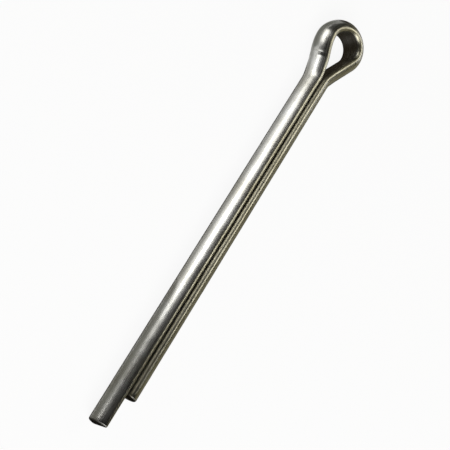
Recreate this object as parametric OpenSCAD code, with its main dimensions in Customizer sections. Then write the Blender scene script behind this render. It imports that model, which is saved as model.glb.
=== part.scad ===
// Split cotter pin: one half-round wire, folded flat to flat into an eye and two legs of unequal length.
// It lies flat, with the eye's hole upright, the eye towards +Y and the longer leg at -X.

/* [Shank] */
// Diameter of the round shank that the two legs make together
shank_d = 3.7; // [2.9:0.1:4.6]
// Gap between the flat faces of the two legs
leg_gap = 0.28; // [0.16:0.02:0.5]
// Radius of the long edges between the flat face and the round back of the wire
edge_r = 0.44; // [0.2:0.02:0.5]

/* [Legs] */
// Length of the shorter leg below the bend
short_leg = 50; // [20:1:80]
// How much further the longer leg reaches, to be caught and spread
prong = 4.5; // [1.5:0.5:8]
// Broken edge round the sheared end of each leg
end_chamfer = 0.22; // [0.06:0.02:0.4]

/* [Eye] */
// Diameter of the hole inside the eye
eye_hole_d = 4.4; // [3.6:0.1:6]
// Height of the eye's centre above the start of the bend
eye_rise = 6.5; // [6.1:0.05:9]
// Radius on the round back of the wire where each leg bends out under the eye
neck_back_r = 1.9; // [1.2:0.1:3]

/* [Hidden] */
$fn = 96;

// Half-round wire: both legs lie on one circle round the pin's axis, so each flat is half a gap off that axis
shank_r = shank_d / 2;
flat_x = leg_gap / 2;
wire_t = shank_r - flat_x;

// Long edges of the wire: each is a round that turns from the flat face on to the back, in short facets
edge_facets = 6;
edge_x = flat_x + edge_r;
edge_z = sqrt(pow(shank_r - edge_r, 2) - pow(edge_x, 2));
edge_turn = 180 - atan2(edge_z, edge_x);
half_height = edge_z + edge_r;

// Fold: on the flat face, a neck arc, a straight shoulder and the eye's arc run into each other without a kink
eye_r = eye_hole_d / 2;
neck_r = neck_back_r + wire_t;
neck_x = flat_x + neck_r;
centre_distance = norm([neck_x, eye_rise]);
shoulder_angle = asin((neck_r + eye_r) / centre_distance) - atan2(neck_x, eye_rise);
shoulder_len = sqrt(pow(centre_distance, 2) - pow(neck_r + eye_r, 2));
// Extra turn that both arcs are drawn with before they are trimmed square
trim_angle = 15;

// Reach along Y from the start of the bend, which centres the pin on its origin
long_leg = short_leg + prong;
eye_top = eye_rise + eye_r + wire_t;
centre_y = (eye_top - long_leg) / 2;

// Point on the long edge at +Y after a turn from the flat face
function edge_point(turn) = [edge_x - edge_r * cos(turn), edge_z + edge_r * sin(turn)];

// Edge from the flat face, with its last facet running on through the back, and then clear of the wire
function edge_outline() =
    let (step = edge_turn / edge_facets)
    let (last = edge_point(edge_turn - step))
    let (beyond = last + edge_facets * (edge_point(edge_turn) - last))
    concat([for (i = [0 : edge_facets - 1]) edge_point(i * step)], [beyond, [shank_d, half_height]]);

// Section across the wire: X runs from the pin's axis to the round back, Y across the wire's width
module axis_section() {
    edge = edge_outline();
    far_edge = [for (i = [len(edge) - 1 : -1 : 0]) [edge[i].x, -edge[i].y]];
    intersection() {
        circle(r = shank_r);
        polygon(concat(edge, far_edge));
    }
}

// The same section with its flat face at X = 0
module wire_section() {
    translate([-flat_x, 0])
        axis_section();
}

// Ring that breaks the round edge at the end of a leg
module end_edge() {
    rotate([-90, 0, 0])
        rotate_extrude()
            polygon([
                [shank_r - 2 * end_chamfer, -end_chamfer],
                [shank_r + end_chamfer, -end_chamfer],
                [shank_r + end_chamfer, 2 * end_chamfer],
            ]);
}

// Straight leg at +X, from the start of the bend down to its sheared end
module leg(length) {
    difference() {
        rotate([90, 0, 0])
            linear_extrude(height = length)
                axis_section();
        translate([0, -length, 0])
            end_edge();
    }
}

// Bend under the eye, drawn along the shoulder's own axes and past its start
module neck() {
    rotate([0, 0, 180])
        rotate_extrude(angle = shoulder_angle + trim_angle)
            translate([neck_r, 0])
                mirror([1, 0])
                    wire_section();
}

// Straight stretch between the bend and the eye, along the shoulder's own Y
module shoulder() {
    translate([-neck_r, 0, 0])
        rotate([-90, 0, 0])
            linear_extrude(height = shoulder_len)
                wire_section();
}

// Round of the eye, from the shoulder to past the top
module half_eye() {
    translate([-neck_r - eye_r, shoulder_len, 0])
        rotate_extrude(angle = 90 + shoulder_angle + trim_angle)
            translate([eye_r, 0])
                wire_section();
}

// Half of the fold at +X, trimmed at the start of the bend and at the middle of the eye
module half_fold() {
    difference() {
        translate([neck_x, 0, 0])
            rotate([0, 0, -shoulder_angle]) {
                neck();
                shoulder();
                half_eye();
            }
        translate([0, -eye_top, -shank_r])
            cube([2 * neck_x, eye_top, shank_d]);
        translate([-eye_top, 0, -shank_r])
            cube([eye_top, 2 * eye_top, shank_d]);
    }
}

// Half of the pin at +X, with a leg of the given length
module half_pin(leg_length) {
    leg(leg_length);
    half_fold();
}

// The whole wire, resting on its edges with the middle of its outline over the origin
module cotter_pin() {
    color([0.66, 0.66, 0.62])
        translate([0, -centre_y, half_height]) {
            half_pin(short_leg);
            mirror([1, 0, 0])
                half_pin(long_leg);
        }
}

cotter_pin();
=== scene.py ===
import math
import random

import bpy
from mathutils import Matrix, Vector, noise


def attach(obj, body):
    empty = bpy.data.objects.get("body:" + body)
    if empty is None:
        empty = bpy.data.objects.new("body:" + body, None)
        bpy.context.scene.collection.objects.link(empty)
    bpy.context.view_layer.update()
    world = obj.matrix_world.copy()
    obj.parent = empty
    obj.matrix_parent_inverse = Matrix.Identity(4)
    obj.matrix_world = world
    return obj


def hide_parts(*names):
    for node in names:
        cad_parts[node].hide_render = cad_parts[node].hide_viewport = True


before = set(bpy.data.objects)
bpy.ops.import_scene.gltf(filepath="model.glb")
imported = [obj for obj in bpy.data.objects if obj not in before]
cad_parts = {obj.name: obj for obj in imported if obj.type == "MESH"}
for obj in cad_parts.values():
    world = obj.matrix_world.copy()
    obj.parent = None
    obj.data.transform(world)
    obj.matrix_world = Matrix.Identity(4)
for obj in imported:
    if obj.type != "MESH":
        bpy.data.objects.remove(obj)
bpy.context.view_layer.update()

MM = 0.001

# Wire and legs in millimetres: this pin is hand-bent, so its gap and its fold stray from the CAD part
SHANK_R = 1.85
FLAT_X = 0.11
EDGE_R = 0.44
SHORT_LEG = 50.0
LONG_LEG = 54.5

# Eye: radius of its inner round, height of its centre over the legs, and how far that centre is off the axis
EYE_R = 2.05
EYE_RISE = 6.585
EYE_SHIFT = 0.3

# Neck of each leg: radius on the flat face, and where along the pin its bend starts
LONG_NECK = (6.0, -0.9)
SHORT_NECK = (4.51, -0.42)

# Lean of the eye towards the short leg: its slope, where it starts, and how gently it sets in
EYE_LEAN = 0.055
LEAN_START = 2.0
LEAN_EASE = 0.8

# Bulge of the long leg's arm: its height, its middle along the pin, and its reach to each side
ARM_BULGE = 0.42
BULGE_MIDDLE = 5.2
BULGE_REACH = 3.2

# Twist of both legs together: its angle, where it starts, and the stretch in which it grows
LEG_TWIST = math.radians(4.5)
TWIST_START = 3.0
TWIST_STRETCH = 6.0

# Where the axis of the legs lies in the frame, at the upper end of the legs
PIN_Y = 22.045
PIN_Z = 1.79

# Sheared ends: radius of the rounded rim in its steps in degrees, slant, and roughness of the face
END_ROUND = 0.22
END_TURNS = (0.0, 22.5, 45.0, 67.5, 90.0)
END_SLANT = -0.08
FACE_SHARES = (0.8, 0.6, 0.4, 0.2)
FACE_LOW = -0.008
FACE_HIGH = 0.012
LONG_END_SEED = 3
SHORT_END_SEED = 5

# Waviness of the drawn wire, slow and fine: its height, and how often it changes along and across the wire
WAVE_HEIGHT = 0.012
WAVE_ALONG = 0.16
WAVE_ACROSS = 0.5
WAVE_SHIFT = 7.0
FINE_HEIGHT = 0.005
FINE_ALONG = 0.9
FINE_ACROSS = 1.6
FINE_SHIFT = 3.0

# Crease where the long leg was bent: a ridge, bowed across the wire, with a hollow beside it in ridge widths
CREASE_AT = LONG_LEG + 3.5
CREASE_WIDTH = 0.2
CREASE_HEIGHT = 0.027
CREASE_BOW = 0.1
HOLLOW_AWAY = 2.2
HOLLOW_WIDTH = 1.2
HOLLOW_DEPTH = 0.8

# Steps of the swept mesh, along the wire in millimetres and round its section in counts
LEG_STEP = 0.2
FOLD_STEP = 0.09
BACK_STEPS = 34
EDGE_STEPS = 6
FLAT_STEPS = 10

# Length of wire for one unit of the texture map
MAP_LENGTH = 100.0

# Metal: tones of the plating, of the rounded edges with their olive passivation and painted shade, and of
# the sheared ends with their bare steel and painted shade
DARK_PATCH = (0.50, 0.485, 0.43, 1.0)
BRIGHT_PATCH = (0.66, 0.66, 0.64, 1.0)
# Olive of the rounded edges beside the gap: a passivation tint, and painted shade that dims their highlights
OLIVE_AND_SHADE_EDGE = (0.40, 0.375, 0.27, 1.0)
# Near-black of the sheared ends: bare steel, darkened with painted shade
BARE_STEEL_AND_SHADE = (0.07, 0.065, 0.055, 1.0)

# Metal: how often the streaks change along and across the wire, and the roughness added at ends and edges
STREAK_STRETCH = (0.25, 6.0, 0.0)
END_DULLNESS = 0.35
EDGE_DULLNESS = 0.15

# Share of plain white in the floor's look, which leaves the rest to its shadow
FLOOR_GLOW = 0.92


# Path of the wire's flat face

def side_path(side, leg, neck):
    """Points on the flat face from a leg's end to the top of the eye."""
    neck_r, neck_y = neck
    shift = side * EYE_SHIFT
    neck_x = FLAT_X + neck_r
    across = neck_x - shift
    rise = EYE_RISE - neck_y
    reach = math.hypot(across, rise)
    turn = math.asin((neck_r + EYE_R) / reach) - math.atan2(across, rise)
    straight = math.sqrt(reach ** 2 - (neck_r + EYE_R) ** 2)
    points = []
    leg_count = round((leg + neck_y) / LEG_STEP)
    for i in range(leg_count):
        y = -leg + (leg + neck_y) * i / leg_count
        points.append((FLAT_X, y))
    neck_count = round(neck_r * turn / FOLD_STEP)
    for i in range(neck_count):
        angle = turn * i / neck_count
        points.append((neck_x - neck_r * math.cos(angle), neck_y + neck_r * math.sin(angle)))
    start_x = neck_x - neck_r * math.cos(turn)
    start_y = neck_y + neck_r * math.sin(turn)
    shoulder_count = round(straight / FOLD_STEP)
    for i in range(shoulder_count):
        along = straight * i / shoulder_count
        points.append((start_x + along * math.sin(turn), start_y + along * math.cos(turn)))
    sweep = math.pi / 2 + turn
    eye_count = round(EYE_R * sweep / FOLD_STEP)
    for i in range(eye_count + 1):
        angle = -turn + sweep * i / eye_count
        points.append((shift + EYE_R * math.cos(angle), EYE_RISE + EYE_R * math.sin(angle)))
    return [(side * x + hand_bend(side, y), y) for x, y in points]


def hand_bend(side, y):
    """How far the fold strays sideways: the eye leans to the short leg, and the long leg's arm bulges."""
    above = max(0.0, y - LEAN_START)
    stray = EYE_LEAN * above * above / (above + LEAN_EASE)
    from_middle = abs(y - BULGE_MIDDLE) / BULGE_REACH
    if side < 0 and from_middle < 1.0:
        stray -= ARM_BULGE * 0.5 * (1.0 + math.cos(math.pi * from_middle))
    return stray


def leg_twist(y):
    """Turn of both legs together about the pin's axis, which eases out on the way to the eye."""
    share = min(1.0, max(0.0, (TWIST_START - y) / TWIST_STRETCH))
    return LEG_TWIST * share * share * (3.0 - 2.0 * share)


def wire_path():
    """The whole wire from the long leg's end, over the eye, to the short leg's end.

    Each place has its point, the direction from the flat to the back, and the length of wire so far.
    """
    points = side_path(-1, LONG_LEG, LONG_NECK) + side_path(1, SHORT_LEG, SHORT_NECK)[-2::-1]
    last = len(points) - 1
    length = 0.0
    path = []
    for i, (x, y) in enumerate(points):
        before = points[max(0, i - 1)]
        after = points[min(last, i + 1)]
        run_x = after[0] - before[0]
        run_y = after[1] - before[1]
        run = math.hypot(run_x, run_y)
        if i:
            length += math.hypot(x - before[0], y - before[1])
        path.append((x, y, -run_y / run, run_x / run, length))
    return path


# Section across the wire

def on_round(depth, height, radius, angle):
    """Point of a round about a centre, with its outward direction."""
    out_depth = math.cos(angle)
    out_height = math.sin(angle)
    return (depth + radius * out_depth, height + radius * out_height, out_depth, out_height)


def wire_section():
    """Outline of the half-round wire: depth from the flat, height, and outward direction of each point."""
    axis = -FLAT_X
    corner_z = math.sqrt((SHANK_R - EDGE_R) ** 2 - (EDGE_R - axis) ** 2)
    back_turn = math.atan2(corner_z, EDGE_R - axis)
    edge_turn = math.pi - back_turn
    outline = []
    for i in range(FLAT_STEPS):
        outline.append((0.0, -corner_z + 2 * corner_z * i / FLAT_STEPS, -1.0, 0.0))
    for i in range(EDGE_STEPS):
        outline.append(on_round(EDGE_R, corner_z, EDGE_R, math.pi - edge_turn * i / EDGE_STEPS))
    for i in range(BACK_STEPS):
        outline.append(on_round(axis, 0.0, SHANK_R, back_turn - 2 * back_turn * i / BACK_STEPS))
    for i in range(EDGE_STEPS):
        outline.append(on_round(EDGE_R, -corner_z, EDGE_R, -back_turn - edge_turn * i / EDGE_STEPS))
    return outline


def walk_round(section):
    """Distance round the section up to each of its points, and the whole way round."""
    around = []
    run = 0.0
    for k, point in enumerate(section):
        around.append(run)
        following = section[(k + 1) % len(section)]
        run += math.hypot(following[0] - point[0], following[1] - point[1])
    return around, run


def edge_strip(out_depth, out_height):
    """How far a point belongs to the rounded edge beside the flat: one in its middle, none elsewhere."""
    return max(0.0, -2.0 * out_depth * abs(out_height)) ** 2


def mark(length, depth, height, back):
    """How far the surface lies off the plain sweep, by waviness and by the crease on the back."""
    wave_spot = Vector((length * WAVE_ALONG, depth * WAVE_ACROSS, height * WAVE_ACROSS + WAVE_SHIFT))
    fine_spot = Vector((length * FINE_ALONG, depth * FINE_ACROSS + FINE_SHIFT, height * FINE_ACROSS))
    offset = WAVE_HEIGHT * noise.noise(wave_spot) + FINE_HEIGHT * noise.noise(fine_spot)
    from_crease = (length - CREASE_AT + CREASE_BOW * height ** 2) / CREASE_WIDTH
    ridge = math.exp(-from_crease ** 2)
    hollow = math.exp(-((from_crease + HOLLOW_AWAY) / HOLLOW_WIDTH) ** 2)
    offset += back * CREASE_HEIGHT * (ridge - HOLLOW_DEPTH * hollow)
    return offset


# Mesh of the wire

def build_wire():
    """Sweeps the section along the path, rounds both ends and closes them with a sheared face."""
    path = wire_path()
    section = wire_section()
    count = len(section)
    around, girth = walk_round(section)
    vertices = []
    faces = []
    rings = []
    # For each vertex: length of wire, distance round the section, and how bare the steel is, which also sets
    # the painted shade on the ends
    wire_place = []
    # For each vertex: its share of the strip on the rounded edge, which gets olive passivation with painted
    # shade, and more roughness
    edge_side = []

    def add_ring(x, y, back_x, back_y, length, inset, slant, bare_and_shade):
        rings.append(len(vertices))
        twist = leg_twist(y)
        for k, (depth, height, out_depth, out_height) in enumerate(section):
            back = max(0.0, out_depth) ** 0.5
            offset = mark(length, depth, height, back) - inset
            deep = depth + out_depth * offset
            z = height + out_height * offset
            lean = slant * z / SHANK_R
            off_axis = x + back_x * deep
            turned_x = off_axis * math.cos(twist) - z * math.sin(twist)
            turned_z = off_axis * math.sin(twist) + z * math.cos(twist)
            place_y = y + back_y * deep + lean + PIN_Y
            vertices.append((turned_x * MM, place_y * MM, (turned_z + PIN_Z) * MM))
            wire_place.append((length, around[k], bare_and_shade))
            edge_side.append(edge_strip(out_depth, out_height))

    def add_end(place, turns):
        x, y, back_x, back_y, length = place
        for turn in turns:
            inset = END_ROUND * (1.0 - math.sin(math.radians(turn)))
            rise = END_ROUND * (1.0 - math.cos(math.radians(turn)))
            # Rises quickly round the rim, so the painted shade of the ends also darkens the rim's glints
            bare_and_shade = math.sqrt(math.cos(math.radians(turn)))
            add_ring(x, y + rise, back_x, back_y, length, inset, END_SLANT, bare_and_shade)

    def join(ring, next_ring, flip):
        for k in range(count):
            m = (k + 1) % count
            quad = (ring + k, ring + m, next_ring + m, next_ring + k)
            faces.append(quad if flip else quad[::-1])

    def close_end(ring, flip, seed):
        picker = random.Random(seed)
        middle = sum((Vector(vertices[ring + k]) for k in range(count)), Vector()) / count
        length = wire_place[ring][0]
        previous = ring
        for share in FACE_SHARES:
            first = len(vertices)
            for k in range(count):
                point = middle.lerp(Vector(vertices[ring + k]), share)
                point.y += picker.uniform(FACE_LOW, FACE_HIGH) * MM
                vertices.append(tuple(point))
                wire_place.append((length, around[k], 1.0))
                edge_side.append(0.0)
            join(previous, first, flip)
            previous = first
        hub = len(vertices)
        vertices.append(tuple(middle))
        wire_place.append((length, 0.0, 1.0))
        edge_side.append(0.0)
        for k in range(count):
            wedge = (previous + k, previous + (k + 1) % count, hub)
            faces.append(wedge if flip else wedge[::-1])

    skip = math.ceil((END_ROUND + abs(END_SLANT)) / LEG_STEP) + 1
    add_end(path[0], END_TURNS)
    for place in path[skip:-skip]:
        add_ring(*place, 0.0, 0.0, 0.0)
    add_end(path[-1], END_TURNS[::-1])
    for ring, next_ring in zip(rings, rings[1:]):
        join(ring, next_ring, True)
    close_end(rings[0], False, LONG_END_SEED)
    close_end(rings[-1], True, SHORT_END_SEED)

    mesh = bpy.data.meshes.new("cotter_pin_wire")
    mesh.from_pydata(vertices, [], faces)
    mesh.validate()
    map_wire(mesh, wire_place, girth)
    places = mesh.attributes.new("wire_place", "FLOAT_VECTOR", "POINT")
    for i, value in enumerate(wire_place):
        places.data[i].vector = value
    strip = mesh.attributes.new("edge_side", "FLOAT", "POINT")
    for i, value in enumerate(edge_side):
        strip.data[i].value = value
    mesh.shade_smooth()
    mesh.update()
    wire = bpy.data.objects.new("cotter_pin_wire", mesh)
    bpy.context.collection.objects.link(wire)
    return wire


def map_wire(mesh, wire_place, girth):
    """Texture map that runs round the section in U and along the wire in V, with its seam kept whole."""
    layer = mesh.uv_layers.new(name="across")
    for polygon in mesh.polygons:
        spots = [wire_place[mesh.loops[i].vertex_index] for i in polygon.loop_indices]
        wraps = max(s[1] for s in spots) - min(s[1] for s in spots) > girth / 2
        for i, (length, u, _) in zip(polygon.loop_indices, spots):
            if wraps and u < girth / 2:
                u += girth
            layer.data[i].uv = (u / girth, length / MAP_LENGTH)


# Metal

def zinc_steel():
    """Drawn zinc-plated steel, with streaks that follow the wire, a faint olive passivation that also paints
    shade on the rounded edges, and painted shade on the bare sheared ends.
    """
    material = bpy.data.materials.new("zinc_steel")
    material.use_nodes = True
    nodes = material.node_tree.nodes
    links = material.node_tree.links
    shader = nodes["Principled BSDF"]
    shader.inputs["Metallic"].default_value = 1.0
    shader.inputs["Anisotropic"].default_value = 0.7
    tangent = nodes.new("ShaderNodeTangent")
    tangent.direction_type = "UV_MAP"
    tangent.uv_map = "across"
    links.new(tangent.outputs["Tangent"], shader.inputs["Tangent"])

    # Streaks, drawn out along the wire
    place = nodes.new("ShaderNodeAttribute")
    place.attribute_name = "wire_place"
    stretch = nodes.new("ShaderNodeVectorMath")
    stretch.operation = "MULTIPLY"
    stretch.inputs[1].default_value = STREAK_STRETCH
    links.new(place.outputs["Vector"], stretch.inputs[0])
    streaks = nodes.new("ShaderNodeTexNoise")
    streaks.inputs["Scale"].default_value = 1.0
    streaks.inputs["Detail"].default_value = 4.0
    links.new(stretch.outputs["Vector"], streaks.inputs["Vector"])

    # Colour: patches of tone, olive passivation with painted shade on the rounded edges, and painted shade
    # on the bare steel of the sheared ends
    patches = nodes.new("ShaderNodeTexNoise")
    patches.inputs["Scale"].default_value = 0.22
    patches.inputs["Detail"].default_value = 3.0
    links.new(place.outputs["Vector"], patches.inputs["Vector"])
    tone = nodes.new("ShaderNodeValToRGB")
    tone.color_ramp.elements[0].position = 0.35
    tone.color_ramp.elements[0].color = DARK_PATCH
    tone.color_ramp.elements[1].position = 0.7
    tone.color_ramp.elements[1].color = BRIGHT_PATCH
    links.new(patches.outputs["Fac"], tone.inputs["Fac"])
    strip = nodes.new("ShaderNodeAttribute")
    strip.attribute_name = "edge_side"
    olive_and_shade = nodes.new("ShaderNodeMix")
    olive_and_shade.data_type = "RGBA"
    olive_and_shade.inputs["B"].default_value = OLIVE_AND_SHADE_EDGE
    links.new(strip.outputs["Fac"], olive_and_shade.inputs["Factor"])
    links.new(tone.outputs["Color"], olive_and_shade.inputs["A"])
    split = nodes.new("ShaderNodeSeparateXYZ")
    links.new(place.outputs["Vector"], split.inputs["Vector"])
    # Painted shade: the sheared ends and their rim turn near-black
    ends = nodes.new("ShaderNodeMix")
    ends.data_type = "RGBA"
    ends.inputs["B"].default_value = BARE_STEEL_AND_SHADE
    links.new(split.outputs["Z"], ends.inputs["Factor"])
    links.new(olive_and_shade.outputs["Result"], ends.inputs["A"])
    links.new(ends.outputs["Result"], shader.inputs["Base Color"])

    # Roughness: it follows the streaks, and is higher on the ends and the rounded edges
    gloss = nodes.new("ShaderNodeMapRange")
    gloss.inputs["From Min"].default_value = 0.3
    gloss.inputs["From Max"].default_value = 0.7
    gloss.inputs["To Min"].default_value = 0.24
    gloss.inputs["To Max"].default_value = 0.33
    links.new(streaks.outputs["Fac"], gloss.inputs["Value"])
    dull_ends = nodes.new("ShaderNodeMath")
    dull_ends.operation = "MULTIPLY_ADD"
    dull_ends.inputs[1].default_value = END_DULLNESS
    links.new(split.outputs["Z"], dull_ends.inputs[0])
    links.new(gloss.outputs["Result"], dull_ends.inputs[2])
    dull_edges = nodes.new("ShaderNodeMath")
    dull_edges.operation = "MULTIPLY_ADD"
    dull_edges.inputs[1].default_value = EDGE_DULLNESS
    links.new(strip.outputs["Fac"], dull_edges.inputs[0])
    links.new(dull_ends.outputs["Value"], dull_edges.inputs[2])
    links.new(dull_edges.outputs["Value"], shader.inputs["Roughness"])

    bump = nodes.new("ShaderNodeBump")
    bump.inputs["Strength"].default_value = 0.05
    bump.inputs["Distance"].default_value = 0.00004
    links.new(streaks.outputs["Fac"], bump.inputs["Height"])
    links.new(bump.outputs["Normal"], shader.inputs["Normal"])
    return material


# Floor, world and lights

def white_floor():
    """A floor that is white to the camera and in the metal, and keeps a faint shadow of the pin."""
    bpy.ops.mesh.primitive_plane_add(size=4.0, location=(0.0, 0.0, 0.0))
    floor = bpy.context.object
    floor.name = "floor"
    material = bpy.data.materials.new("white_floor")
    material.use_nodes = True
    nodes = material.node_tree.nodes
    links = material.node_tree.links
    nodes.clear()
    out = nodes.new("ShaderNodeOutputMaterial")
    diffuse = nodes.new("ShaderNodeBsdfDiffuse")
    diffuse.inputs["Color"].default_value = (0.9, 0.9, 0.9, 1.0)
    glow = nodes.new("ShaderNodeEmission")
    glow.inputs["Color"].default_value = (1.0, 1.0, 1.0, 1.0)
    glow.inputs["Strength"].default_value = 1.0
    seen = nodes.new("ShaderNodeLightPath")
    either = nodes.new("ShaderNodeMath")
    either.operation = "MAXIMUM"
    links.new(seen.outputs["Is Camera Ray"], either.inputs[0])
    links.new(seen.outputs["Is Glossy Ray"], either.inputs[1])
    any_seen = nodes.new("ShaderNodeMath")
    any_seen.operation = "MAXIMUM"
    links.new(either.outputs["Value"], any_seen.inputs[0])
    links.new(seen.outputs["Is Transmission Ray"], any_seen.inputs[1])
    glow_share = nodes.new("ShaderNodeMath")
    glow_share.operation = "MULTIPLY"
    glow_share.inputs[1].default_value = FLOOR_GLOW
    links.new(any_seen.outputs["Value"], glow_share.inputs[0])
    mix = nodes.new("ShaderNodeMixShader")
    links.new(glow_share.outputs["Value"], mix.inputs["Fac"])
    links.new(diffuse.outputs["BSDF"], mix.inputs[1])
    links.new(glow.outputs["Emission"], mix.inputs[2])
    links.new(mix.outputs["Shader"], out.inputs["Surface"])
    floor.data.materials.append(material)


def soft_box(name, centre, aim, width, height, radiance):
    """A flat soft light of the given brightness, sized in millimetres and turned to face a point."""
    light = bpy.data.lights.new(name, "AREA")
    light.shape = "RECTANGLE"
    light.size = width * MM
    light.size_y = height * MM
    light.energy = radiance * math.pi * width * height * MM * MM
    lamp = bpy.data.objects.new(name, light)
    lamp.location = Vector(centre) * MM
    towards = (Vector(aim) - Vector(centre)).normalized()
    lamp.rotation_euler = towards.to_track_quat("-Z", "Y").to_euler()
    bpy.context.collection.objects.link(lamp)
    return lamp


def shade_card(name, corner, side, other_side, colour):
    """A glowing card of one even tone beside the pin, which only the metal's reflections show, so it paints
    shade into the metal's reflections.
    """
    origin = Vector(corner)
    a = Vector(side)
    b = Vector(other_side)
    corners = [origin, origin + a, origin + a + b, origin + b]
    mesh = bpy.data.meshes.new(name)
    mesh.from_pydata([tuple(p * MM) for p in corners], [], [(0, 1, 2, 3)])
    piece = bpy.data.objects.new(name, mesh)
    bpy.context.collection.objects.link(piece)
    material = bpy.data.materials.new(name)
    material.use_nodes = True
    nodes = material.node_tree.nodes
    nodes.remove(nodes["Principled BSDF"])
    # The card glows evenly though it is no lamp: painted shade for the reflections
    tone = nodes.new("ShaderNodeEmission")
    tone.inputs["Color"].default_value = (*colour, 1.0)
    tone.inputs["Strength"].default_value = 1.0
    material.node_tree.links.new(tone.outputs["Emission"], nodes["Material Output"].inputs["Surface"])
    mesh.materials.append(material)
    piece.visible_camera = False
    piece.visible_diffuse = False
    piece.visible_shadow = False


def floor_shade_card(name, corner, width, length, colour):
    """A card of painted shade that lies just over the floor, from its corner towards +X and +Y."""
    shade_card(name, corner, (width, 0.0, 0.0), (0.0, length, 0.0), colour)


def light_scene():
    """A dark room, soft lights, and glowing cards of painted shade that the bright metal mirrors in place of
    the white floor.
    """
    world = bpy.data.worlds.new("dark_room")
    world.use_nodes = True
    world.node_tree.nodes["Background"].inputs["Color"].default_value = (0.0, 0.0, 0.0, 1.0)
    bpy.context.scene.world = world
    pin_middle = (0.0, 0.0, 2.0)
    eye = (0.0, 24.0, 2.0)
    leg_ends = (0.0, -30.0, 2.0)
    beside_pin = (-565.0, 5.0, 103.0)
    # At the left, for the highlights on the long leg, its neck and its end
    soft_box("window", (-545.0, 205.0, 103.0), beside_pin, width=620.0, height=228.0, radiance=3.3)
    soft_box("pane", (-150.0, 52.0, 33.0), eye, width=32.0, height=58.0, radiance=3.2)
    soft_box("slit", (-150.0, -10.0, 12.0), leg_ends, width=14.0, height=22.0, radiance=3.2)
    # In front, above and behind, for the rounded edges, the short leg and the eye
    soft_box("front", (60.0, -330.0, 290.0), pin_middle, width=330.0, height=330.0, radiance=5.4)
    warm = soft_box("warm", (130.0, 140.0, 230.0), pin_middle, width=220.0, height=90.0, radiance=2.3)
    warm.data.color = (1.0, 0.95, 0.74)
    soft_box("back", (270.0, 310.0, 125.0), pin_middle, width=210.0, height=150.0, radiance=1.6)
    # Painted reflections of shade: one card stands at the right and five lie on the floor, most of them past
    # both ends of the pin
    start_y = -90.0
    length = 300.0
    shade_card("right_card", (40.0, -120.0, 0.0), (0.0, 330.0, 0.0), (5.0, 0.0, 14.0), (0.17, 0.155, 0.08))
    # Under the pin the darkest paints the floor's contact shadow as the gap and the inside of the eye mirror
    # it; the greyer ones paint the floor darker around the pin
    floor_shade_card("ground_card", (-2.2, start_y, 0.06), 9.2, length, (0.022, 0.018, 0.012))
    floor_shade_card("side_card", (7.0, start_y, 0.06), 33.0, length, (0.24, 0.225, 0.16))
    floor_shade_card("low_card", (-90.0, start_y, 0.07), 87.6, 78.0, (0.19, 0.19, 0.17))
    floor_shade_card("eye_card", (-18.0, 25.5, 0.08), 14.5, 30.0, (0.21, 0.215, 0.2))
    floor_shade_card("left_card", (-5.0, start_y, 0.05), 2.6, length, (0.40, 0.40, 0.385))


# Camera

def set_camera():
    """Camera of the photograph, found by fitting the pin's outline."""
    camera = bpy.data.cameras.new("camera")
    camera.sensor_width = 36.0
    camera.lens = 83.819
    camera.clip_start = 0.005
    camera.clip_end = 20.0
    eye = bpy.data.objects.new("camera", camera)
    right = Vector((0.61106, 0.48672, 0.62426))
    up = Vector((-0.61696, 0.78694, -0.00965))
    back = Vector((-0.49596, -0.37924, 0.78115))
    turn = Matrix((right, up, back)).transposed()
    place = Vector((-65.57, -52.994, 104.778)) * MM
    eye.matrix_world = Matrix.Translation(place) @ turn.to_4x4()
    bpy.context.collection.objects.link(eye)
    bpy.context.scene.camera = eye


wire = build_wire()
wire.data.materials.append(zinc_steel())
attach(wire, "root")
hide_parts("cotter_pin")
white_floor()
light_scene()
set_camera()
bpy.context.scene.view_settings.view_transform = "Standard"
